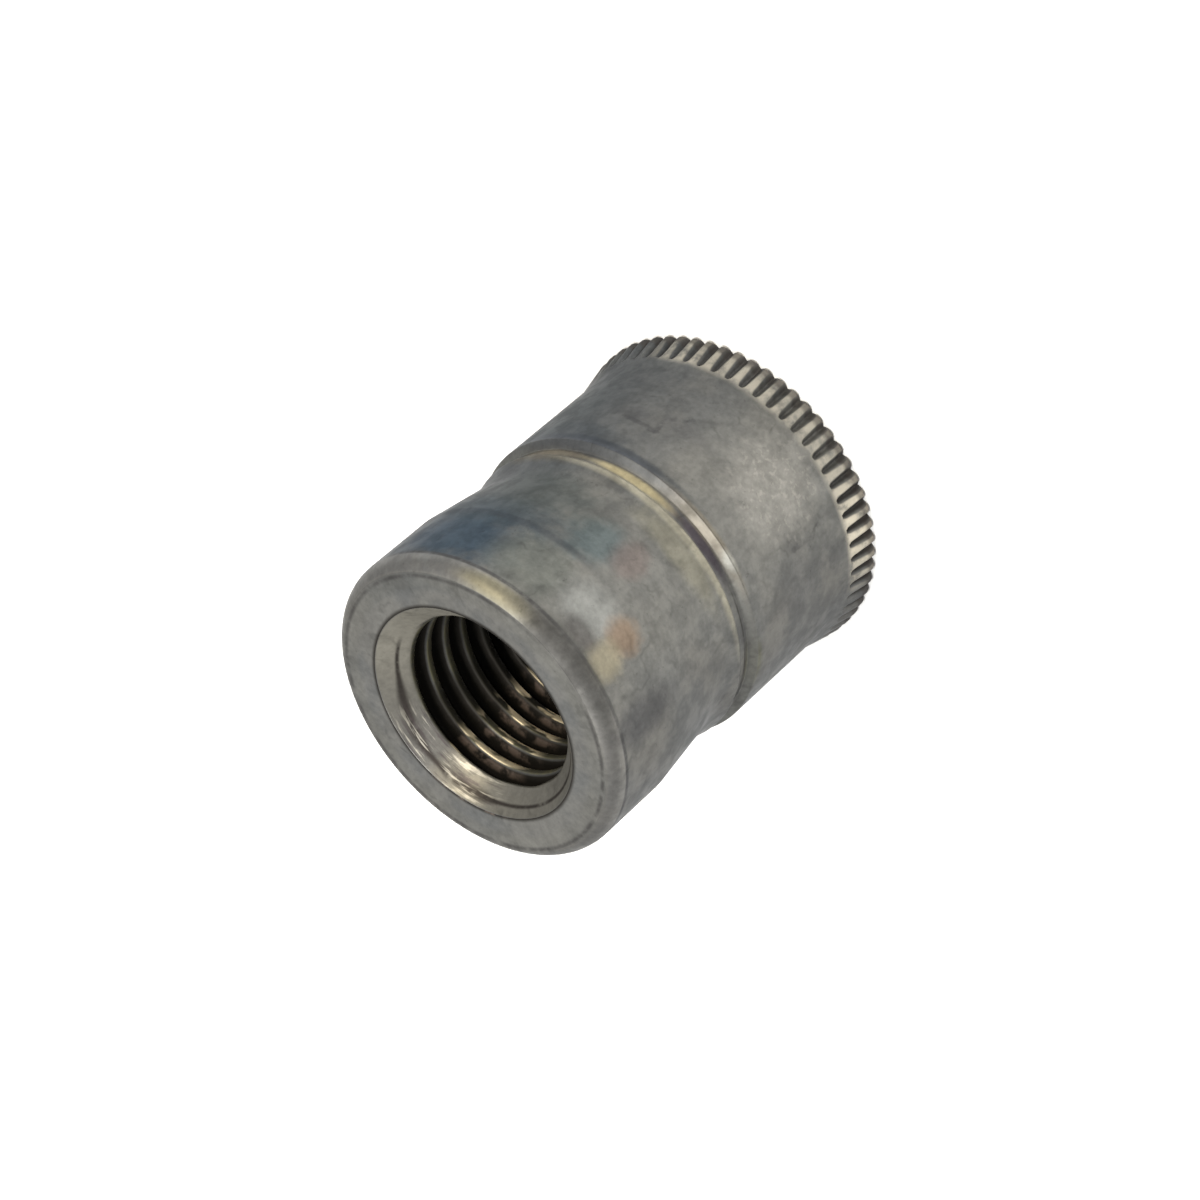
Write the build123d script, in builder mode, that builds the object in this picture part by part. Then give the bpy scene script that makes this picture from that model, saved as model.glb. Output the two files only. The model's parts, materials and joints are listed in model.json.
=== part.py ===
from build123d import *
from math import atan2, cos, degrees, radians, sin, tan
import os

# Rivet nut with a knurled head: one turned piece, in millimetres.
# The outer face of the head lies on the XY plane, and +Z runs to the threaded end.
# From the head upwards the outside is a knurled cone, a flare, a plain sleeve, a groove,
# a waist, a taper, and a plain threaded end with a rounded front edge.

# Outside, from the head to the threaded end
body_diameter = 12.6
head_diameter = 13.32
rim_height = 0.35
rim_edge = 0.12
flare_height = 2.3
sleeve_length = 7.1
groove_width = 0.9
groove_diameter = 11.96
groove_chamfer_angle = 55.0
lip_diameter = 12.22
lip_land = 0.1
lip_wall_angle = 55.0
nut_length = 7.7
waist_diameter = 11.92
waist_arc_radius = 4.0
taper_angle = 7.2
front_face_diameter = 11.72
front_edge_height = 0.7

# Knurl on the cone between the rim and the flare
knurl_teeth = 64
knurl_height = 1.35
knurl_depth = 0.25
knurl_start_diameter = 12.9
knurl_start_depth = 0.2
knurl_groove_angle = 76.0

# Inside: an M8 x 1 thread, drawn at its minor diameter, and the sleeve's clearance bore
thread_minor_diameter = 7.0
thread_length = 7.4
countersink_diameter = 8.84
countersink_angle = 90.0
sleeve_bore_diameter = 9.4
drill_point_angle = 118.0
mouth_chamfer = 0.3

# Heights and radii that follow from them
body_radius = body_diameter / 2
head_radius = head_diameter / 2
lip_radius = lip_diameter / 2
waist_radius = waist_diameter / 2
front_face_radius = front_face_diameter / 2
groove_radius = groove_diameter / 2
root_radius = head_radius - knurl_depth
knurl_start_radius = knurl_start_diameter / 2
lip_height = sleeve_length + groove_width
total_length = lip_height + nut_length
thread_end_height = total_length - thread_length


def outer_outline():
    """Half of the turned outline, on XZ: X is the radius and Z the height."""
    # The waist is one arc. It leaves the lip, narrows to the waist and meets the taper tangentially.
    lip_drop = waist_arc_radius - (lip_radius - waist_radius)
    lip_to_waist = (waist_arc_radius**2 - lip_drop**2) ** 0.5
    waist_height = lip_height + lip_to_waist
    taper_start = (
        waist_radius + waist_arc_radius * (1 - cos(radians(taper_angle))),
        waist_height + waist_arc_radius * sin(radians(taper_angle)),
    )
    taper_rise = (body_radius - taper_start[0]) / tan(radians(taper_angle))
    chamfer_rise = (body_radius - groove_radius) / tan(radians(groove_chamfer_angle))

    Line((0, 0), (head_radius - rim_edge, 0))
    Line((head_radius - rim_edge, 0), (head_radius, rim_edge))
    Line((head_radius, rim_edge), (head_radius, rim_height))
    Line((head_radius, rim_height), (knurl_start_radius, knurl_height))
    flare_start = (body_radius, flare_height)
    TangentArc(flare_start, (knurl_start_radius, knurl_height), tangent=(0, -1))
    Line(flare_start, (body_radius, sleeve_length))
    chamfer_foot = (groove_radius, sleeve_length + chamfer_rise)
    Line((body_radius, sleeve_length), chamfer_foot)
    lip_edge = (lip_radius, lip_height - lip_land)
    lip_wall_rise = (lip_radius - groove_radius) / tan(radians(lip_wall_angle))
    lip_foot = (groove_radius, lip_edge[1] - lip_wall_rise)
    Line(chamfer_foot, lip_foot)
    Line(lip_foot, lip_edge)
    Line(lip_edge, (lip_radius, lip_height))
    ThreePointArc((lip_radius, lip_height), (waist_radius, waist_height), taper_start)
    taper_end = (body_radius, taper_start[1] + taper_rise)
    Line(taper_start, taper_end)
    front_edge_start = (body_radius, total_length - front_edge_height)
    Line(taper_end, front_edge_start)
    TangentArc(front_edge_start, (front_face_radius, total_length), tangent=(0, 1))
    Line((front_face_radius, total_length), (0, total_length))
    Line((0, total_length), (0, 0))


def inner_outline():
    """Half of the bore's outline: sleeve bore, drill point, thread and countersink."""
    thread_radius = thread_minor_diameter / 2
    bore_radius = sleeve_bore_diameter / 2
    countersink_radius = countersink_diameter / 2
    countersink_depth = (countersink_radius - thread_radius) / tan(radians(countersink_angle / 2))
    drill_point_depth = (bore_radius - thread_radius) / tan(radians(drill_point_angle / 2))
    Polyline(
        (0, 0),
        (bore_radius + mouth_chamfer, 0),
        (bore_radius, mouth_chamfer),
        (bore_radius, thread_end_height - drill_point_depth),
        (thread_radius, thread_end_height),
        (thread_radius, total_length - countersink_depth),
        (countersink_radius, total_length),
        (0, total_length),
        close=True,
    )


def knurl_planes():
    """A plane across each knurl groove, with its origin on the groove's root below the head.

    The root leans towards the axis, so the groove follows the head and gets deeper to the rim.
    """
    start_root_radius = knurl_start_radius - knurl_start_depth
    lean = degrees(atan2(root_radius - start_root_radius, knurl_height))
    half_tooth = 180 / knurl_teeth
    spots = PolarLocations(root_radius, knurl_teeth, start_angle=half_tooth).locations
    return [Plane(spot * Rot(Y=-lean)).offset(-knurl_depth) for spot in spots]


with BuildPart() as rivet_nut:
    with BuildSketch(Plane.XZ):
        with BuildLine():
            outer_outline()
        make_face()
    revolve(axis=Axis.Z)

    with BuildSketch(Plane.XZ):
        with BuildLine():
            inner_outline()
        make_face()
    revolve(axis=Axis.Z, mode=Mode.SUBTRACT)

    # Each knurl groove is a V with a square end on the flare.
    groove_reach = 2 * knurl_depth
    groove_half_width = groove_reach * tan(radians(knurl_groove_angle / 2))
    with BuildSketch(*knurl_planes()):
        Polygon(
            (0, 0),
            (groove_reach, -groove_half_width),
            (groove_reach, groove_half_width),
            align=None,
        )
    extrude(amount=knurl_height + knurl_depth, mode=Mode.SUBTRACT)

rivet_nut.part.label = "rivet_nut"
os.makedirs("parts", exist_ok=True)
export_step(rivet_nut.part, "parts/rivet_nut.step")
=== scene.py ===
import json
from math import atan2, cos, hypot, pi, radians, sin, tan

import bmesh
import bpy
import numpy as np
from mathutils import Matrix, Vector


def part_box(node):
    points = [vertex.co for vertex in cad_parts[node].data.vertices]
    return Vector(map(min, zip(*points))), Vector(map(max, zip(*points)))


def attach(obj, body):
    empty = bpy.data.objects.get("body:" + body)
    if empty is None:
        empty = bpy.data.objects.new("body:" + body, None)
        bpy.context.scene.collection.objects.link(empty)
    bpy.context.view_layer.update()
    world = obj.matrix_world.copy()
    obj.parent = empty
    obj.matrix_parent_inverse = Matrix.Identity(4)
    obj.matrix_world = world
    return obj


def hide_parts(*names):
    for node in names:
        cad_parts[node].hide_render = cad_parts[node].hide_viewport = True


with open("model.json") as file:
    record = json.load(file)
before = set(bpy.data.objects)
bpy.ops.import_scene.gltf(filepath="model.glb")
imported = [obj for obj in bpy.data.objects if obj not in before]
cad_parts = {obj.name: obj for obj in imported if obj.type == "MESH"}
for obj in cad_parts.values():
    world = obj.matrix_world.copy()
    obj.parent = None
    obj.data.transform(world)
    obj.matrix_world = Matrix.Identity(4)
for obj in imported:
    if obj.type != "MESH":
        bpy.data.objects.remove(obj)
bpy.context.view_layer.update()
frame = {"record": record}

MM = 0.001

# ---------------------------------------------------------------- sizes
# Radii and heights are in millimetres, in the part's own frame: the nut stands on its head
# at height 0, and +Z runs to the threaded end. What the record and the solid give is read
# from them, and the rest repeats the part's own driving sizes.

mounts = {mount["name"]: mount for mount in frame["record"]["mounts"]}


def mount_radius(name):
    """Radius of a round mount's wall."""
    return mounts[name]["dims"]["r_mm"]


def mount_span(name):
    """Lowest and highest height of a round mount's wall."""
    middle = mounts[name]["pos_m"][2] / MM
    half = mounts[name]["dims"]["length_mm"] / 2
    return middle - half, middle + half


node_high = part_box("rivet_nut")[1]
total_length = node_high.z / MM
head_radius = node_high.x / MM
body_radius = mount_radius("shank")
flare_height, sleeve_top = mount_span("shank")
thread_minor_radius = mount_radius("thread")
bore_radius = mount_radius("sleeve_bore")
mouth_chamfer, drill_point_low = mount_span("sleeve_bore")

# Outside
rim_edge = 0.12
rim_height = 0.35
groove_radius = 5.98
groove_chamfer_slope = tan(radians(55))
lip_foot_height = 7.81
lip_edge_height = 7.9
lip_height = 8.0
lip_radius = 6.11
waist_radius = 5.96
waist_arc_radius = 4.0
taper_angle = radians(7.2)
front_face_radius = 5.86
front_edge_height = 0.7

# Inside
countersink_radius = 4.42
countersink_slope = tan(radians(45))
drill_point_slope = tan(radians(59))

# Knurl
knurl_teeth = 64
knurl_top = 1.35
knurl_root = head_radius - 0.25
knurl_top_root = 6.25
knurl_top_radius = 6.45
knurl_flank = tan(radians(38))
knurl_root_rounding = 0.02
knurl_crest_rounding = 0.06
knurl_run_out = 0.22
knurl_run_out_rise = 0.12

# Thread
thread_pitch = 1.0
thread_major_radius = 4.0
thread_depth = thread_major_radius - thread_minor_radius
thread_start = radians(140)
thread_start_depth = 0.84
thread_run_in = 0.08
thread_crest_rounding = 0.05
thread_root_rounding = 0.08
thread_mouth_rounding = 0.03

# Fillets that only the skin has
rim_foot_fillet = 0.06
rim_edge_fillet = 0.08
rim_top_fillet = 0.5
sleeve_end_fillet = 0.06
chamfer_foot_fillet = 0.08
lip_foot_fillet = 0.03
lip_edge_fillet = 0.14
lip_top_fillet = 0.4
taper_fillet = 0.9
front_face_fillet = 0.05
countersink_fillet = 0.04
bore_fillet = 0.05
mouth_fillet = 0.03

# Mesh density
FINE_RING = knurl_teeth * 12  # points round the knurl
RING = 192  # points round everything else
THREAD_ROWS = 16  # rows of points along one pitch
WELD = 0.0005  # points nearer to each other than this become one
MARGIN = 0.001  # what a height may be over a limit by rounding


# ---------------------------------------------------------------- outline helpers
def spaced(low, high, steps):
    """Evenly spaced values from low to high, both included."""
    return [low + (high - low) * i / steps for i in range(steps + 1)]


def arc_points(centre, start, end, steps):
    """Points on the shorter arc about centre from start to end, both ends included."""
    radius = hypot(start[0] - centre[0], start[1] - centre[1])
    first = atan2(start[1] - centre[1], start[0] - centre[0])
    turn = atan2(end[1] - centre[1], end[0] - centre[0]) - first
    turn = (turn + pi) % (2 * pi) - pi
    angles = [first + turn * i / steps for i in range(steps + 1)]
    return [
        (centre[0] + radius * cos(angle), centre[1] + radius * sin(angle)) for angle in angles
    ]


def tangent_arc_centre(start, end):
    """Centre of the arc that leaves start parallel to the axis and ends at end."""
    across = end[0] - start[0]
    along = end[1] - start[1]
    radius = (across**2 + along**2) / (2 * across)
    return start[0] + radius, start[1]


def soften(corners, steps=3):
    """The outline through corners of (radius, height, fillet), each corner a small fillet.

    A ring just past each end of a fillet keeps the straight runs beside it flat.
    """
    longest = 0.4  # the share of a run that a fillet may take
    past_end = 0.3  # how far past its end the ring lies, as a share of its reach
    out = [corners[0][:2]]
    for before, corner, after in zip(corners, corners[1:], corners[2:]):
        here = Vector(corner[:2])
        fillet = corner[2]
        if not fillet:
            out.append(tuple(here))
            continue
        back = Vector(before[:2]) - here
        ahead = Vector(after[:2]) - here
        half = back.angle(ahead) / 2
        reach = min(fillet / tan(half), longest * back.length, longest * ahead.length)
        back.normalize()
        ahead.normalize()
        start = here + back * reach
        end = here + ahead * reach
        centre = here + (back + ahead).normalized() * (reach / cos(half))
        out.append(tuple(start + back * reach * past_end))
        out.extend(arc_points(centre, start, end, steps))
        out.append(tuple(end + ahead * reach * past_end))
    out.append(corners[-1][:2])
    return out


def smooth_min(a, b, width):
    """The lower of a and b, rounded over width where they cross."""
    share = np.clip(0.5 + 0.5 * (b - a) / width, 0, 1)
    return b + (a - b) * share - width * share * (1 - share)


def smooth_max(a, b, width):
    """The higher of a and b, rounded over width where they cross."""
    return -smooth_min(-a, -b, width)


# ---------------------------------------------------------------- forms round the axis
flare_centre = tangent_arc_centre((body_radius, flare_height), (knurl_top_radius, knurl_top))
flare_arc_radius = flare_centre[0] - body_radius


def flare_radius(height):
    """Radius of the flare, from the sleeve down to the knurl."""
    drop = flare_height - height
    return flare_centre[0] - (flare_arc_radius**2 - drop**2) ** 0.5


def knurled(radius, height, angle):
    """The radius left after the knurl's V grooves, whose roots lean in towards the flare."""
    phase = (angle / (2 * pi) * knurl_teeth) % 1.0
    tooth_pitch = 2 * pi * head_radius / knurl_teeth
    from_groove = (0.5 - np.abs(phase - np.round(phase))) * tooth_pitch
    rounded = np.sqrt(from_groove**2 + knurl_root_rounding**2) - knurl_root_rounding / 2
    root = knurl_root + (knurl_top_root - knurl_root) * height / knurl_top
    near_top = np.clip((height - knurl_top + knurl_run_out) / knurl_run_out, 0, 1)
    run_out = knurl_run_out_rise * near_top**2
    return smooth_min(radius, root + run_out + rounded / knurl_flank, knurl_crest_rounding)


def countersink_at(height):
    """Radius of the countersink's cone at a height."""
    return countersink_radius - (total_length - height) / countersink_slope


def thread_radius(angle, height):
    """Radius of the thread's surface: flat crests, 60 degree flanks and rounded roots.

    The thread runs in a little below the front face, so that no thin edge is left there.
    """
    turns = height / thread_pitch - (angle - thread_start) / (2 * pi)
    from_crest = np.abs(turns - np.round(turns)) * thread_pitch
    crest_half = thread_pitch / 8
    flank = (from_crest - crest_half) / tan(radians(30))
    cut = smooth_max(flank, 0, thread_crest_rounding)
    cut = smooth_min(cut, thread_depth, thread_root_rounding)
    below_start = total_length - height - thread_start_depth
    return thread_minor_radius + cut * np.clip(below_start / thread_run_in, 0, 1)


def threaded_bore_radius(angle, height):
    """The thread, opened out by the countersink above it and the drill point below it."""
    drill_point = bore_radius - (height - drill_point_low) * drill_point_slope
    cone = np.maximum(countersink_at(height), drill_point)
    return smooth_max(thread_radius(angle, height), cone, thread_mouth_rounding)


# ---------------------------------------------------------------- mesh
class Skin:
    """The points and faces of a mesh that is made of rings round the axis."""

    def __init__(self):
        self.points = []
        self.faces = []

    def ring(self, radius, height, count):
        """Adds a ring of points. radius and height are numbers, or one value for each point."""
        angle = 2 * pi * np.arange(count) / count
        radius = np.broadcast_to(radius, count)
        height = np.broadcast_to(height, count)
        first = len(self.points)
        self.points.extend(zip(radius * np.cos(angle), radius * np.sin(angle), height))
        return list(range(first, first + count))

    def join(self, ring, onto):
        """Adds the faces from one ring, if there is one, to the next, and returns the next.

        The finer ring has a whole number of points for each point of the other.
        """
        if ring is None:
            return onto
        few, many, flip = (ring, onto, False) if len(ring) <= len(onto) else (onto, ring, True)
        step = len(many) // len(few)
        for i in range(len(few)):
            j = (i + 1) % len(few)
            side = [many[(i * step + k) % len(many)] for k in range(step + 1)]
            face = [few[i], few[j]] + side[::-1]
            self.faces.append(face[::-1] if flip else face)
        return onto

    def turned(self, outline, count, after=None):
        """Rings for each (radius, height) of an outline, joined to the ring before them."""
        for radius, height in outline:
            after = self.join(after, self.ring(radius, height, count))
        return after


def head_outline():
    """Rings of the knurled zone, from the head's flat face up to the knurl's top."""
    flat_ring = head_radius - rim_edge - 0.4
    cone_start = 0.5
    rim = soften(
        [
            (flat_ring, 0, 0),
            (head_radius - rim_edge, 0, rim_foot_fillet),
            (head_radius, rim_edge, rim_edge_fillet),
            (head_radius, rim_height, rim_top_fillet),
            (knurl_top_radius, knurl_top, 0),
        ]
    )
    slope = (knurl_top_radius - head_radius) / (knurl_top - rim_height)
    cone = [
        (knurl_top_radius - slope * (knurl_top - height), height)
        for height in spaced(cone_start, knurl_top, 18)
    ]
    return rim[:-1] + cone


def sleeve_outline():
    """Rings from just above the knurl, up the flare and the plain sleeve."""
    flare_start = knurl_top + 0.1
    end_gap = 0.3
    flare = [(flare_radius(height), height) for height in spaced(flare_start, flare_height, 6)]
    plain = spaced(flare_height + end_gap, sleeve_top - end_gap, 5)
    return flare + [(body_radius, height) for height in plain]


def waist_outline():
    """Rings of the waist's arc, from the lip up to the foot of the taper."""
    lip_drop = waist_arc_radius - (lip_radius - waist_radius)
    waist_height = lip_height + (waist_arc_radius**2 - lip_drop**2) ** 0.5
    centre = (waist_radius + waist_arc_radius, waist_height)
    taper_foot = (
        centre[0] - waist_arc_radius * cos(taper_angle),
        centre[1] + waist_arc_radius * sin(taper_angle),
    )
    return arc_points(centre, (lip_radius, lip_height), taper_foot, 12)


def groove_outline(below, above):
    """Rings of the groove and its lip, from the ring below them to the ring above."""
    chamfer_foot = sleeve_top + (body_radius - groove_radius) / groove_chamfer_slope
    return soften(
        [
            below + (0,),
            (body_radius, sleeve_top, sleeve_end_fillet),
            (groove_radius, chamfer_foot, chamfer_foot_fillet),
            (groove_radius, lip_foot_height, lip_foot_fillet),
            (lip_radius, lip_edge_height, lip_edge_fillet),
            (lip_radius, lip_height, lip_top_fillet),
            above + (0,),
        ]
    )


def front_outline(taper_foot):
    """Rings from the taper's foot over the front edge and face, into the countersink."""
    edge_foot = total_length - front_edge_height
    taper_top = taper_foot[1] + (body_radius - taper_foot[0]) / tan(taper_angle)
    taper = soften(
        [
            taper_foot + (0,),
            (body_radius, taper_top, taper_fillet),
            (body_radius, edge_foot - 0.1, 0),
        ],
        steps=4,
    )
    edge_start = (body_radius, edge_foot)
    edge_end = (front_face_radius, total_length)
    edge = arc_points(tangent_arc_centre(edge_start, edge_end), edge_start, edge_end, 9)
    face_ring = (countersink_radius + 0.2, total_length, 0)
    cone_step = 0.12
    face = soften([edge[-2] + (0,), edge_end + (front_face_fillet,), face_ring])
    mouth = soften(
        [
            face_ring,
            (countersink_radius, total_length, countersink_fillet),
            (countersink_radius - cone_step, total_length - cone_step, 0),
        ]
    )
    return taper + edge[:-2] + face[:-1] + mouth[:-1]


def body_outline():
    """Rings from just above the knurl up to the start of the countersink."""
    sleeve = sleeve_outline()
    waist = waist_outline()
    groove = groove_outline(sleeve[-1], waist[1])
    return sleeve[:-1] + groove[:-1] + waist[1:-1] + front_outline(waist[-1])


def bore_outline():
    """Rings of the sleeve's bore, from the drill point down to the head's flat face."""
    mouth_radius = bore_radius + mouth_chamfer
    return soften(
        [
            (bore_radius - 0.1, drill_point_low + 0.06, 0),
            (bore_radius, drill_point_low, bore_fillet),
            (bore_radius, mouth_chamfer, bore_fillet),
            (mouth_radius, 0, mouth_fillet),
            (mouth_radius + 0.3, 0, 0),
        ]
    )


def add_thread(skin, top_ring, bottom_ring):
    """The threaded bore between two rings.

    Its rows follow the helix, so that crests and roots lie along them, and what would pass the
    ends is drawn back onto them.
    """
    top = skin.points[top_ring[0]][2]
    bottom = skin.points[bottom_ring[0]][2]
    turns = int((top - bottom) / thread_pitch) + 3
    rows = turns * THREAD_ROWS
    angle = 2 * pi * np.arange(RING) / RING
    snap = 0.3 * thread_pitch / THREAD_ROWS
    first_turn = np.floor(bottom / thread_pitch) - 1
    grid = []
    for row in range(rows + 1):
        climb = first_turn + row / THREAD_ROWS + (angle - thread_start) / (2 * pi)
        height = climb * thread_pitch
        height = np.where(height > top - snap, top, height)
        height = np.where(height < bottom + snap, bottom, height)
        grid.append(skin.ring(threaded_bore_radius(angle, height), height, RING))
    for row in range(rows):
        for i in range(RING):
            j = (i + 1) % RING
            shift = THREAD_ROWS if j == 0 else 0
            if row + 1 + shift > rows:
                continue
            lower, upper = grid[row + shift], grid[row + 1 + shift]
            skin.faces.append([grid[row][i], grid[row + 1][i], upper[j], lower[j]])
    for i in range(RING):
        j = (i + 1) % RING
        skin.faces.append([grid[-1][i], top_ring[i], top_ring[j], grid[-1][j]])
        skin.faces.append([bottom_ring[i], grid[0][i], grid[0][j], bottom_ring[j]])


def add_head(skin):
    """The knurled head. Returns its first ring, on the flat face, and its last."""
    angle = 2 * pi * np.arange(FINE_RING) / FINE_RING
    outline = head_outline()
    first = skin.ring(*outline[0], FINE_RING)
    ring = first
    for radius, height in outline[1:]:
        cut = knurled(np.full(FINE_RING, radius), height, angle)
        ring = skin.join(ring, skin.ring(cut, height, FINE_RING))
    # Two close rings end the knurl's grooves, so that they don't bend the flare
    past_knurl = [
        (flare_radius(height), height) for height in (knurl_top + 0.008, knurl_top + 0.03)
    ]
    return first, skin.turned(past_knurl, FINE_RING, after=ring)


def build_nut():
    """The whole nut as one closed skin, in metres."""
    skin = Skin()
    head_first, head_last = add_head(skin)
    mouth_ring = skin.turned(body_outline(), RING, after=head_last)
    bore = bore_outline()
    drill_ring = skin.ring(*bore[0], RING)
    bore_last = skin.turned(bore[1:], RING, after=drill_ring)
    skin.join(bore_last, head_first)
    add_thread(skin, mouth_ring, drill_ring)

    mesh = bpy.data.meshes.new("rivet_nut_skin")
    mesh.from_pydata((np.array(skin.points) * MM).tolist(), [], skin.faces)
    clean = bmesh.new()
    clean.from_mesh(mesh)
    bmesh.ops.remove_doubles(clean, verts=clean.verts, dist=WELD * MM)
    bmesh.ops.recalc_face_normals(clean, faces=clean.faces)
    for face in clean.faces:
        face.smooth = True
    clean.to_mesh(mesh)
    clean.free()
    nut = bpy.data.objects.new("rivet_nut_skin", mesh)
    bpy.context.scene.collection.objects.link(nut)
    return nut


def mark_hollows(mesh):
    """Writes how deep each point lies in the thread or in the knurl, from 0 to 1."""
    place = np.empty(len(mesh.vertices) * 3)
    mesh.vertices.foreach_get("co", place)
    x, y, height = place.reshape(-1, 3).T / MM
    radius = np.hypot(x, y)
    cone_fade = 0.05
    in_thread = np.clip((radius - thread_minor_radius) / thread_depth, 0, 1)
    in_thread *= np.clip((radius - countersink_at(height)) / cone_fade, 0, 1)
    uncut = np.interp(
        height,
        [0, rim_edge, rim_height, knurl_top],
        [head_radius - rim_edge, head_radius, head_radius, knurl_top_radius],
    )
    deep_groove = 0.2
    in_knurl = np.clip((uncut - radius) / deep_groove, 0, 1) * (height < knurl_top + MARGIN)
    wall_middle = bore_radius + 0.4
    hollow = np.where(radius < wall_middle, in_thread, in_knurl)
    layer = mesh.attributes.new("hollow", "FLOAT", "POINT")
    layer.data.foreach_set("value", hollow.astype(np.float32))


# ---------------------------------------------------------------- directions
CAMERA_TURN = -88.2  # direction of the camera from the nut, in degrees from +X


def toward(turn, elevation):
    """Unit vector from the nut, turned so many degrees clockwise from the camera's side."""
    bearing = radians(CAMERA_TURN - turn)
    lift = radians(elevation)
    return Vector((cos(lift) * cos(bearing), cos(lift) * sin(bearing), sin(lift)))


# ---------------------------------------------------------------- material helpers
class Surface:
    """Builds the nodes of one material, which know where on the nut each point lies.

    turn is the angle round the axis, clockwise from the camera's side, in degrees, and onward is
    the same angle from 0 to 360. radius is in millimetres from the axis, height above the head's
    face, and depth below the front face. Colours are linear, and shares run from 0 to 1.
    """

    def __init__(self, material):
        self.tree = material.node_tree
        position = self.node("TexCoord").outputs["Object"]
        self.place = self.vector("SCALE", position, scale=1 / MM)
        split = self.node("SeparateXYZ", self.place).outputs
        across = self.node("CombineXYZ", split[0], split[1]).outputs[0]
        self.radius = self.vector("LENGTH", across)
        self.height = split[2]
        self.depth = self.math("SUBTRACT", total_length, self.height)
        ahead = self.vector("DOT_PRODUCT", self.place, toward(0, 0))
        aside = self.vector("DOT_PRODUCT", self.place, toward(90, 0))
        self.turn = self.math("DEGREES", self.math("ARCTAN2", aside, ahead))
        self.onward = self.math("FLOORED_MODULO", self.turn, 360.0)
        self.spot = self.node("CombineXYZ", self.turn, self.depth).outputs[0]
        self.hollow = self.node("Attribute", attribute_name="hollow").outputs["Fac"]
        self.ragged = self.noise(1.6, 4, 0.6)  # breaks up edges and lines
        self.outside = self.ramp(self.radius, bore_radius + 0.3, bore_radius + 0.7)
        self.inside = self.ramp(self.radius, countersink_radius + 0.2, countersink_radius)
        self.colour = None

    def node(self, kind, *values, **settings):
        """A new node, its settings set and its first sockets fed."""
        made = self.tree.nodes.new("ShaderNode" + kind)
        for name, value in settings.items():
            setattr(made, name, value)
        for socket, value in zip(made.inputs, values):
            self.feed(socket, value)
        return made

    def feed(self, socket, value):
        """Links a socket to another one, or sets it to a number, a vector or a colour."""
        if isinstance(value, bpy.types.NodeSocket):
            self.tree.links.new(value, socket)
        elif socket.type == "RGBA":
            socket.default_value = (*value, 1)
        else:
            socket.default_value = value

    def math(self, operation, *values):
        """The result of one Math node."""
        return self.node("Math", *values, operation=operation).outputs[0]

    def vector(self, operation, *values, scale=None):
        """The result of one Vector Math node, which is a number or a vector."""
        made = self.node("VectorMath", *values, operation=operation)
        if scale is not None:
            made.inputs["Scale"].default_value = scale
        number = operation in ("LENGTH", "DOT_PRODUCT")
        return made.outputs["Value" if number else "Vector"]

    def noise(self, scale, detail=2.0, roughness=0.5, stretch=(1, 1, 1), place=None):
        """Noise between 0 and 1, whose scale is in cells for each millimetre."""
        made = self.node("TexNoise", self.vector("MULTIPLY", place or self.place, stretch))
        made.inputs["Scale"].default_value = scale
        made.inputs["Detail"].default_value = detail
        made.inputs["Roughness"].default_value = roughness
        return made.outputs[0]

    def times(self, *values):
        """The product of all values."""
        product = values[0]
        for value in values[1:]:
            product = self.math("MULTIPLY", product, value)
        return product

    def either(self, a, b):
        """The stronger of two shares."""
        return self.math("MAXIMUM", a, b)

    def without(self, share):
        """1 less the share."""
        return self.math("SUBTRACT", 1.0, share)

    def between(self, low, high, share):
        """low where the share is 0, high where it is 1, and evenly between them."""
        return self.math("MULTIPLY_ADD", share, high - low, low)

    def ramp(self, value, low, high, start=0.0, end=1.0):
        """start up to low, end from high on, and a smooth change between them."""
        limits = (low, high, start, end)
        return self.node("MapRange", value, *limits, interpolation_type="SMOOTHSTEP").outputs[0]

    def ragged_ramp(self, value, low, high, ragged):
        """A ramp whose place on the nut wanders by ragged in all."""
        wander = self.between(-ragged / 2, ragged / 2, self.ragged)
        return self.ramp(self.math("ADD", value, wander), low, high)

    def band(self, value, middle, half, soft):
        """1 within half of the middle, fading to 0 over the next soft."""
        away = self.math("ABSOLUTE", self.math("SUBTRACT", value, middle))
        return self.ramp(away, half + soft, half)

    def patch(self, turn, half_turn, depth, half_depth, ragged=0.9, soft=0.5):
        """1 inside an oval patch at a place on the nut, fading to 0 over its ragged edge."""
        scale = Vector((1 / half_turn, 1 / half_depth, 0))
        shift = Vector((-turn, -depth, 0)) * scale
        away = self.vector("LENGTH", self.vector("MULTIPLY_ADD", self.spot, scale, shift))
        return self.ragged_ramp(away, 1 + soft, 1 - soft, ragged)

    def streak(self, start, end, half=0.05, ragged=0.35, soft=0.12):
        """1 along a thin ragged streak from one place to another, each a (turn, depth)."""
        unrolled = Vector((radians(1) * body_radius, 1, 0))
        first = Vector((*start, 0)) * unrolled
        reach = Vector((*end, 0)) * unrolled - first
        from_first = self.vector("MULTIPLY_ADD", self.spot, unrolled, -first)
        along = self.vector("DOT_PRODUCT", from_first, reach / reach.length_squared)
        along = self.node("Clamp", along).outputs[0]
        away = self.vector("LENGTH", self.vector("MULTIPLY_ADD", along, -reach, from_first))
        return self.ragged_ramp(away, half + soft, half, ragged)

    def mix(self, share, below, above, blend_type="MIX"):
        """The colour below, covered by the colour above as far as the share says."""
        made = self.node("Mix", data_type="RGBA", blend_type=blend_type)
        self.feed(made.inputs["Factor"], share)
        # Sockets 6 and 7 are the node's two colours
        self.feed(made.inputs[6], below)
        self.feed(made.inputs[7], above)
        return made.outputs[2]

    def paint(self, tint, *shares):
        """Covers the colour so far with a tint, as far as the product of the shares says."""
        self.colour = self.mix(self.times(*shares), self.colour, tint)


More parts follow.
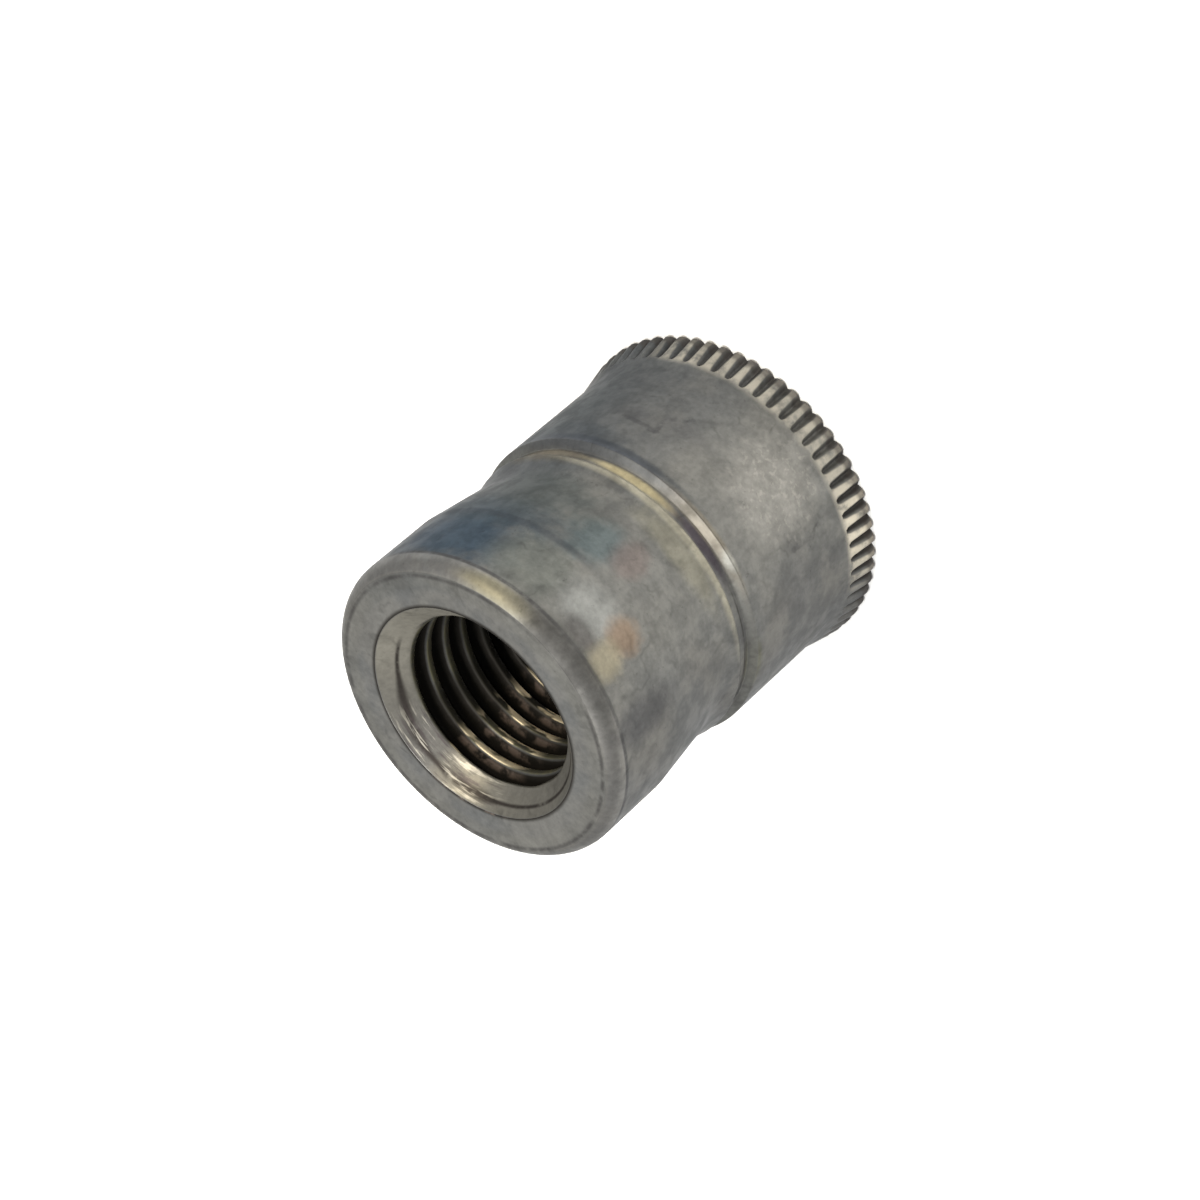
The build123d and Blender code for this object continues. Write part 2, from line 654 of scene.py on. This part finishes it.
# ---------------------------------------------------------------- plated steel
# Stains, worn places, and painted light and shade on the outside: turn and half-width in degrees,
# depth and half-length in millimetres, linear colour, strength
STAINS_AND_PAINTED_LIGHT = [
    # broad painted shade on the dull side and on the opposite flank, and broad painted light on
    # the bright side
    (-68, 30, 8.0, 12.0, (0.085, 0.095, 0.105), 0.75),
    (-35, 14, 11.5, 4.0, (0.14, 0.145, 0.15), 0.4),
    (8, 26, 8.0, 12.0, (0.29, 0.29, 0.272), 0.6),
    (82, 17, 8.0, 12.0, (0.13, 0.13, 0.13), 0.35),
    # front cylinder and taper: stains, and blue tarnish on the dull side that is darkened as
    # painted shade
    (-54, 22, 2.0, 1.5, (0.04, 0.07, 0.105), 0.9),
    (-24, 14, 2.1, 1.3, (0.185, 0.20, 0.18), 0.6),
    (-52, 28, 3.9, 1.0, (0.055, 0.08, 0.10), 0.7),
    (-16, 9, 4.75, 1.1, (0.12, 0.17, 0.185), 0.65),
    (-4, 6, 5.1, 0.9, (0.28, 0.215, 0.20), 0.5),
    (-1, 10, 2.2, 1.0, (0.41, 0.42, 0.405), 0.8),
    (13, 6, 2.6, 0.7, (0.38, 0.26, 0.17), 0.65),
    (15, 6, 1.35, 0.8, (0.50, 0.45, 0.32), 0.75),
    (3, 7, 1.25, 0.45, (0.09, 0.08, 0.08), 0.6),
    (39, 7, 2.0, 1.6, (0.11, 0.11, 0.115), 0.7),
    # waist and groove: painted shade on the dull side, painted light on the bright side, olive
    # stains, and a golden tint that is partly painted highlight
    (-46, 22, 5.7, 1.3, (0.085, 0.10, 0.095), 0.55),
    (5, 20, 7.1, 0.5, (0.36, 0.34, 0.25), 0.5),
    (-62, 20, 8.0, 0.5, (0.17, 0.15, 0.11), 0.7),
    (-64, 14, 8.15, 0.2, (0.36, 0.32, 0.25), 0.7),
    (58, 9, 8.55, 0.3, (0.14, 0.14, 0.08), 0.6),
    # sleeve: blue-grey painted shade on the dull side and below the shoulder, a painted highlight
    # on the bright side, and grey stains and small marks
    (-60, 22, 9.2, 0.6, (0.07, 0.085, 0.10), 0.5),
    (-74, 16, 11.0, 2.4, (0.06, 0.075, 0.08), 0.6),
    (-44, 34, 8.8, 0.2, (0.05, 0.06, 0.075), 0.75),
    (9, 16, 12.0, 1.9, (0.42, 0.41, 0.38), 0.7),
    (40, 12, 11.0, 1.2, (0.15, 0.15, 0.15), 0.4),
    (-24, 10, 11.2, 0.35, (0.12, 0.12, 0.125), 0.35),
    (-43, 6, 10.9, 0.4, (0.11, 0.11, 0.115), 0.4),
    (28, 3, 11.6, 0.5, (0.11, 0.11, 0.11), 0.5),
]

# Thin dark marks on the sleeve: the places that each one runs through, as (turn, depth)
MARKS = [
    [(-46, 10.6), (-32, 10.4), (-33, 11.1), (-26, 11.8)],
    [(29, 13.2), (31, 12.6), (30, 11.6)],
]

# Painted highlights on the lip and in the groove, and painted purple shade in the groove: turn
# and half-width in degrees, depth and half-length in millimetres, how ragged, linear colour,
# strength
GROOVE_PAINTED_LIGHT = [
    (-3, 43, 7.7, 0.2, 0.5, (0.52, 0.49, 0.385), 0.8),
    (-24, 17, 8.12, 0.2, 0.4, (0.68, 0.59, 0.36), 0.9),
    (8, 15, 8.15, 0.26, 0.3, (0.075, 0.06, 0.08), 0.85),
]

# Brown wear, a painted glint and a stretch of painted shade on the sleeve's shoulder, in the same
# terms
SHOULDER_WEAR_AND_PAINTED_LIGHT = [
    (5, 22, 8.55, 0.2, 0.6, (0.27, 0.235, 0.18), 0.7),
    (18, 4, 8.6, 0.16, 0.4, (0.50, 0.50, 0.46), 0.7),
    (-42, 34, 8.55, 0.2, 0.5, (0.10, 0.11, 0.13), 0.7),
]

# A pale side, a side of painted shade and a side of golden painted highlight on the countersink:
# middle, half-width and fade in degrees onward, linear colour, strength
CONE_SIDES = [
    (275.0, 25.0, 45.0, (0.62, 0.59, 0.50), 0.7),
    (185.0, 8.0, 22.0, (0.12, 0.115, 0.11), 0.6),
    (158.0, 10.0, 9.0, (0.42, 0.38, 0.29), 0.25),
]

# How much the clouds and the grain darken or lighten the plating, and its tone over all
MOTTLE_RANGE = (0.89, 1.11)
GRAIN_RANGE = (0.90, 1.10)
PLATING_TONE = 0.6


def lay_plating(coat):
    """Grey plating in two faint tones, in large clouds."""
    clouds = coat.ramp(coat.noise(0.55, 3, 0.55), 0.35, 0.65)
    coat.colour = coat.mix(clouds, (0.192, 0.195, 0.192), (0.216, 0.212, 0.198))


def lay_stains(coat):
    """The stains with the painted light and shade among them, the marks on the sleeve, and the
    bare front face.
    """
    # The patches are stains, painted light and painted shade, as the table gives them
    for turn, half_turn, depth, half_depth, tint, strength in STAINS_AND_PAINTED_LIGHT:
        patch = coat.patch(turn, half_turn, depth, half_depth)
        coat.paint(tint, patch, coat.outside, strength)
    faint = coat.ramp(coat.noise(1.7, 3, 0.6), 0.35, 0.6, 0.0, 0.5)
    for mark in MARKS:
        for start, end in zip(mark, mark[1:]):
            coat.paint((0.07, 0.07, 0.075), coat.streak(start, end), coat.outside, faint)
    front_face = coat.ramp(coat.depth, 0.06, 0.02)
    coat.paint((0.215, 0.21, 0.188), front_face, coat.outside, 0.5)


def wear_and_light_front_edge(coat):
    """Bright wear round the front edge, with a golden painted highlight in one place and painted
    shade in another.

    Returns the share of the place of painted shade, and of the part of it that is on the edge.
    """
    past_face = coat.ramp(coat.radius, front_face_radius - 0.02, front_face_radius + 0.04)
    on_edge = coat.ramp(coat.depth, front_edge_height + 0.1, front_edge_height - 0.1)
    front_edge = coat.times(past_face, on_edge)
    coat.paint((0.36, 0.35, 0.33), front_edge, 0.5)
    # A golden painted highlight on the edge, beside the warm lamp's own highlight
    coat.paint((0.41, 0.38, 0.26), coat.patch(-24, 15, 0.25, 0.3, 0.4), front_edge, 0.8)
    # Painted shade that dulls the edge over the side towards the camera
    painted_shade_patch = coat.patch(7, 25, 0.3, 0.5, 0.5)
    near_edge = coat.ramp(coat.radius, front_face_radius - 0.04, front_face_radius)
    painted_edge_shade = coat.times(painted_shade_patch, near_edge)
    coat.paint((0.135, 0.133, 0.128), painted_edge_shade, 0.8)
    return painted_shade_patch, painted_edge_shade


def paint_patches(coat, patches):
    """The patches of one table of wear and painted light."""
    for turn, half_turn, depth, half_depth, ragged, tint, strength in patches:
        coat.paint(tint, coat.patch(turn, half_turn, depth, half_depth, ragged), strength)


def wear_and_light_groove(coat):
    """Painted light and shade round the groove, wear on the shoulder, and painted shade in the
    corners.
    """
    # Painted highlights on the lip and in the groove, and painted purple shade in the groove
    paint_patches(coat, GROOVE_PAINTED_LIGHT)
    # A pale band round the sleeve's shoulder, worn and partly painted highlight
    shoulder = coat.band(coat.depth, 8.49, 0.11, 0.03)
    coat.paint((0.34, 0.34, 0.315), shoulder, coat.outside, 0.7)
    # Brown wear, a painted glint and painted shade on the shoulder
    paint_patches(coat, SHOULDER_WEAR_AND_PAINTED_LIGHT)
    # Painted shade in the groove's corners, strongest on one side
    corners = coat.either(
        coat.band(coat.depth, 7.84, 0.0, 0.07), coat.band(coat.depth, 8.22, 0.0, 0.07)
    )
    shaded_side = coat.band(coat.turn, 62.0, 24.0, 22.0)
    uneven = coat.ramp(coat.ragged, 0.25, 0.55)
    coat.paint((0.07, 0.065, 0.06), corners, shaded_side, uneven, coat.outside, 0.7)


def draw_lines(coat, painted_shade_patch):
    """Painted shade in thin lines above the taper and below the front edge, and thin dark lines
    round the front face.
    """
    # Painted shade along the bend above the taper, on the dull side
    crease_shade = coat.band(coat.depth, 3.55, 0.06, 0.2)
    crease_side = coat.band(coat.turn, -46.0, 22.0, 26.0)
    coat.paint((0.05, 0.06, 0.075), crease_shade, crease_side, coat.outside, 0.45)

    # Painted shade along the foot of the front edge, stronger on two sides
    edge_line_shade = coat.band(coat.depth, 0.68, 0.03, 0.09)
    uneven = coat.ramp(coat.ragged, 0.2, 0.55)
    strong_sides = coat.either(
        coat.band(coat.turn, 65.0, 20.0, 25.0), coat.band(coat.turn, -40.0, 22.0, 22.0)
    )
    strength = coat.between(0.35, 0.75, strong_sides)
    coat.paint((0.05, 0.05, 0.055), edge_line_shade, uneven, coat.outside, strength)

    on_face = coat.ramp(coat.depth, 0.04, 0.01)
    outer_line = coat.times(
        coat.band(coat.radius, 5.74, 0.01, 0.14),
        on_face,
        coat.ramp(coat.ragged, 0.25, 0.6),
        coat.between(1.0, 0.2, painted_shade_patch),
    )
    mouth_line = coat.times(
        coat.band(coat.radius, 4.49, 0.0, 0.09), on_face, coat.ramp(coat.ragged, 0.2, 0.7), 0.25
    )
    coat.paint((0.06, 0.055, 0.055), coat.either(outer_line, mouth_line), 0.7)


def turn_countersink(coat):
    """Cream wear on the countersink, painted shade and a painted highlight on two sides, a dark
    line, and the tool's scores with painted glints.
    """
    inner = coat.ramp(coat.radius, countersink_radius + 0.02, countersink_radius - 0.02)
    on_cone = coat.times(inner, coat.ramp(coat.depth, 0.0, 0.03))
    above_thread = coat.times(on_cone, coat.ramp(coat.depth, 0.95, 0.88))
    coat.paint((0.30, 0.285, 0.24), above_thread, 0.6)
    # Sides of the countersink, among them painted shade and a painted highlight
    for middle, half, soft, tint, strength in CONE_SIDES:
        coat.paint(tint, above_thread, coat.band(coat.onward, middle, half, soft), strength)

    # The line drops as it goes round, and is wider in two places
    line_depth = coat.ramp(coat.onward, 172.0, 228.0, 0.30, 0.56)
    wide_places = coat.either(
        coat.band(coat.onward, 200.0, 10.0, 30.0), coat.band(coat.onward, 153.0, 10.0, 15.0)
    )
    from_line = coat.math("SUBTRACT", coat.depth, line_depth)
    from_line = coat.times(from_line, coat.between(1.0, 0.35, wide_places))
    line = coat.band(from_line, 0.0, 0.01, 0.075)
    line_side = coat.band(coat.onward, 152.0, 93.0, 13.0)
    whole_place = coat.band(coat.onward, 215.0, 10.0, 20.0)
    broken = coat.either(coat.ramp(coat.ragged, 0.2, 0.5), whole_place)
    coat.paint((0.04, 0.032, 0.028), line, on_cone, line_side, broken, 0.9)

    # Noise that is drawn out round the axis gives the dark scores, and bright streaks along them
    # that are painted glints
    round_cone = coat.node("CombineXYZ", coat.onward, coat.depth).outputs[0]
    turning = coat.noise(1.0, 3, 0.6, (0.035, 7.0, 1.0), round_cone)
    scored = coat.times(above_thread, coat.band(coat.onward, 170.0, 20.0, 26.0))
    coat.paint((0.09, 0.07, 0.075), scored, coat.ramp(turning, 0.46, 0.36), 0.6)
    coat.paint((0.72, 0.68, 0.58), scored, coat.ramp(turning, 0.54, 0.64), 0.7)


def mottle_plating(coat):
    """Darkens and lightens the plating by clouds, grain, pits and wisps, and adds sparkle as
    painted glints.

    Returns the clouds, and the height of the fine relief that goes with them all.
    """
    mottle = coat.ramp(coat.noise(1.1, 4, 0.6), 0.3, 0.7, *MOTTLE_RANGE)
    grain = coat.ramp(coat.noise(4.5, 3, 0.6), 0.25, 0.75, *GRAIN_RANGE)
    wisp_field = coat.noise(0.75, 2.5, 0.5, (1, 1, 0.8))
    from_wisp = coat.math("ABSOLUTE", coat.math("SUBTRACT", wisp_field, 0.5))
    wisps = coat.times(coat.ramp(from_wisp, 0.05, 0.0), coat.ramp(coat.noise(0.9, 3), 0.5, 0.66))
    pits = coat.ramp(coat.noise(4.2, 3, 0.7), 0.6, 0.72)
    pits = coat.times(pits, coat.ramp(coat.ragged, 0.4, 0.6))
    dark = coat.either(coat.times(wisps, 0.2), coat.times(pits, 0.22))
    tone = coat.times(mottle, grain, coat.without(dark), PLATING_TONE)
    shade = coat.node("CombineColor", tone, tone, tone).outputs[0]
    coat.colour = coat.mix(1.0, coat.colour, shade, "MULTIPLY")

    # Painted glints, as sparkle in the sleeve's painted highlight
    sparkle = coat.ramp(coat.noise(4.0, 3, 0.6), 0.52, 0.68)
    coat.paint((0.34, 0.33, 0.30), sparkle, coat.patch(9, 15, 12.2, 1.9), coat.outside, 0.55)

    relief = coat.math("ADD", coat.times(grain, 0.5), coat.times(mottle, 0.8))
    return mottle, coat.math("SUBTRACT", relief, dark)


def wear_and_shade_knurl(coat):
    """Bright worn ridges, a painted highlight on one side, grime and painted shade between the
    ridges, and painted shade on the rim. Returns the share of the grime and shade.
    """
    below_flare = coat.ramp(coat.height, knurl_top + 0.2, knurl_top - 0.15)
    on_knurl = coat.times(below_flare, coat.outside)
    dull_sides = coat.band(coat.math("ABSOLUTE", coat.turn), 80.0, 12.0, 22.0)
    ridges = coat.times(
        on_knurl,
        coat.ramp(coat.hollow, 0.35, 0.05),
        coat.ramp(coat.ragged, 0.25, 0.6),
        coat.without(dull_sides),
    )
    coat.paint((0.46, 0.43, 0.36), ridges, 0.7)
    # Painted highlight on the ridges on one side
    coat.paint((0.62, 0.57, 0.47), ridges, coat.band(coat.turn, 46.0, 14.0, 16.0), 0.7)
    # Grime and painted shade in the grooves, lighter on one side
    grooves = coat.times(on_knurl, coat.ramp(coat.hollow, 0.3, 0.9))
    groove_darkness = coat.between(0.78, 0.18, coat.band(coat.turn, -25.0, 30.0, 25.0))
    coat.paint((0.03, 0.027, 0.024), grooves, groove_darkness)
    # Painted shade on the rim, beside the floor
    rim = coat.ramp(coat.height, 0.55, 0.35)
    coat.paint((0.06, 0.052, 0.048), rim, coat.outside, 0.6)
    return grooves


def shade_and_glint_bore(coat):
    """Thin worn crests, grime and painted shade in the valleys, painted shade deep in the bore
    and on one side, and painted glints on the crests and flanks. Returns the share of the
    valleys.
    """
    in_thread = coat.times(coat.inside, coat.ramp(coat.depth, 0.86, 0.95))
    crests = coat.times(in_thread, coat.ramp(coat.hollow, 0.1, 0.02))
    worn = coat.ramp(coat.noise(2.2, 3, 0.7), 0.35, 0.65, 0.3, 0.9)
    coat.paint((0.19, 0.18, 0.11), crests, worn)
    # Painted shade deep in the bore
    deep = coat.ramp(coat.depth, 2.2, 5.0)
    coat.paint((0.02, 0.018, 0.015), coat.inside, deep, 0.9)
    # Painted shade over the thread on one side
    crest_shade = coat.band(coat.onward, 188.0, 10.0, 16.0)
    coat.paint((0.025, 0.022, 0.018), in_thread, crest_shade, 0.85)
    # Golden painted glints on the crests on one side
    glint_side = coat.band(coat.onward, 153.0, 16.0, 14.0)
    glints = coat.ramp(coat.noise(1.3, 1, 0.5, (1, 1, 3)), 0.40, 0.56)
    coat.paint((1.0, 0.86, 0.60), crests, glint_side, glints)
    # Grime and painted shade in the valleys
    valleys = coat.times(coat.inside, coat.ramp(coat.hollow, 0.04, 0.25))
    coat.paint((0.016, 0.014, 0.011), valleys)
    # Painted glints on the flanks, on the same side as the crests' glints
    flanks = coat.band(coat.hollow, 0.45, 0.1, 0.25)
    flank_glints = coat.ramp(coat.noise(1.5, 3, 0.6), 0.42, 0.62)
    coat.paint((0.30, 0.23, 0.19), flanks, flank_glints, glint_side, coat.inside, 0.4)
    return valleys


def plated_steel():
    """Dull zinc plating: mottled, tarnished blue and brown in places, worn at the edges, with
    painted light and shade.

    Each layer covers those before it.
    """
    material = bpy.data.materials.new("plated_steel")
    material.use_nodes = True
    coat = Surface(material)
    lay_plating(coat)
    lay_stains(coat)
    painted_shade_patch, painted_edge_shade = wear_and_light_front_edge(coat)
    wear_and_light_groove(coat)
    draw_lines(coat, painted_shade_patch)
    turn_countersink(coat)
    mottle, relief = mottle_plating(coat)
    grooves = wear_and_shade_knurl(coat)
    valleys = shade_and_glint_bore(coat)

    # Rough where there is grime and painted shade in the valleys and grooves, on the painted
    # shade of the front edge, and in the darker clouds
    dirt_and_shade = coat.either(coat.either(valleys, grooves), painted_edge_shade)
    clean_roughness = coat.ramp(mottle, *MOTTLE_RANGE, 0.5, 0.38)
    roughness = coat.math("ADD", clean_roughness, coat.times(dirt_and_shade, 0.25))

    # Relief too fine for the mesh
    bump = coat.node("Bump")
    bump.inputs["Strength"].default_value = 0.5
    bump.inputs["Distance"].default_value = 0.012 * MM
    coat.feed(bump.inputs["Height"], relief)

    shader = coat.tree.nodes["Principled BSDF"]
    shader.inputs["Metallic"].default_value = 0.7
    shader.inputs["Specular Tint"].default_value = (0.45, 0.46, 0.48, 1)
    coat.feed(shader.inputs["Base Color"], coat.colour)
    coat.feed(shader.inputs["Roughness"], roughness)
    coat.feed(shader.inputs["Normal"], bump.outputs["Normal"])
    return material


nut = build_nut()
mark_hollows(nut.data)
nut.data.materials.append(plated_steel())
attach(nut, "root")
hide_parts("rivet_nut")


# ---------------------------------------------------------------- stage
# Soft square lights round the nut: name, turn, elevation, distance and side in metres, power in
# watts, colour
LIGHTS = [
    ("top", 15, 86, 0.35, 0.24, 1.8, (1.0, 0.99, 0.97)),
    ("warm", -50, 47, 0.30, 0.11, 0.32, (1.0, 0.89, 0.70)),
    ("back", 172, 38, 0.35, 0.22, 0.16, (1.0, 1.0, 0.97)),
]

# The camera's lens in millimetres, its elevation and roll in degrees, and how far it stands to
# the right of the front face's centre, above it and back from it, in millimetres of its own view
CAMERA_LENS = 120
CAMERA_ELEVATION = 37.55
CAMERA_ROLL = -131.14
CAMERA_RIGHT = 4.51
CAMERA_UP = 4.04
CAMERA_BACK = 141.18


def build_floor():
    """A plain pale floor, its top at height 0."""
    half = 0.6  # half its side, in metres
    mesh = bpy.data.meshes.new("floor")
    corners = [(-half, -half, 0), (half, -half, 0), (half, half, 0), (-half, half, 0)]
    mesh.from_pydata(corners, [], [(0, 1, 2, 3)])
    floor = bpy.data.objects.new("floor", mesh)
    bpy.context.scene.collection.objects.link(floor)
    material = bpy.data.materials.new("pale_floor")
    material.use_nodes = True
    shader = material.node_tree.nodes["Principled BSDF"]
    shader.inputs["Base Color"].default_value = (0.88, 0.88, 0.87, 1)
    shader.inputs["Roughness"].default_value = 0.9
    shader.inputs["Specular IOR Level"].default_value = 0.1
    mesh.materials.append(material)


def add_light(name, turn, elevation, distance, side, power, colour):
    """A square area light that faces the middle of the nut."""
    light = bpy.data.lights.new(name, "AREA")
    light.size = side
    light.energy = power
    light.color = colour
    lamp = bpy.data.objects.new(name, light)
    direction = toward(turn, elevation)
    middle = Vector((0, 0, total_length / 2 * MM))
    lamp.location = middle + direction * distance
    lamp.rotation_euler = direction.to_track_quat("Z", "Y").to_euler()
    bpy.context.scene.collection.objects.link(lamp)


def light_room():
    """An even white surround, and the soft lights."""
    world = bpy.data.worlds.new("room")
    world.use_nodes = True
    background = world.node_tree.nodes["Background"]
    background.inputs["Color"].default_value = (1.0, 1.0, 1.0, 1)
    background.inputs["Strength"].default_value = 0.5
    bpy.context.scene.world = world
    for light in LIGHTS:
        add_light(*light)


def place_camera():
    """The camera looks down on the threaded face, rolled as the photograph shows the nut."""
    camera = bpy.data.cameras.new("camera")
    camera.lens = CAMERA_LENS
    camera.sensor_width = 36
    camera.clip_start = 0.005
    camera.clip_end = 5
    back = toward(0, CAMERA_ELEVATION)
    level = Vector((0, 0, 1)).cross(back).normalized()
    upright = back.cross(level)
    roll = radians(CAMERA_ROLL)
    right = level * cos(roll) + upright * sin(roll)
    up = upright * cos(roll) - level * sin(roll)
    offset = right * CAMERA_RIGHT + up * CAMERA_UP + back * CAMERA_BACK
    face_centre = Vector((0, 0, total_length * MM))
    position = face_centre + offset * MM
    eye = bpy.data.objects.new("camera", camera)
    eye.matrix_world = Matrix(
        (
            (right.x, up.x, back.x, position.x),
            (right.y, up.y, back.y, position.y),
            (right.z, up.z, back.z, position.z),
            (0, 0, 0, 1),
        )
    )
    bpy.context.scene.collection.objects.link(eye)
    bpy.context.scene.camera = eye


build_floor()
light_room()
place_camera()
bpy.context.scene.view_settings.view_transform = "Standard"
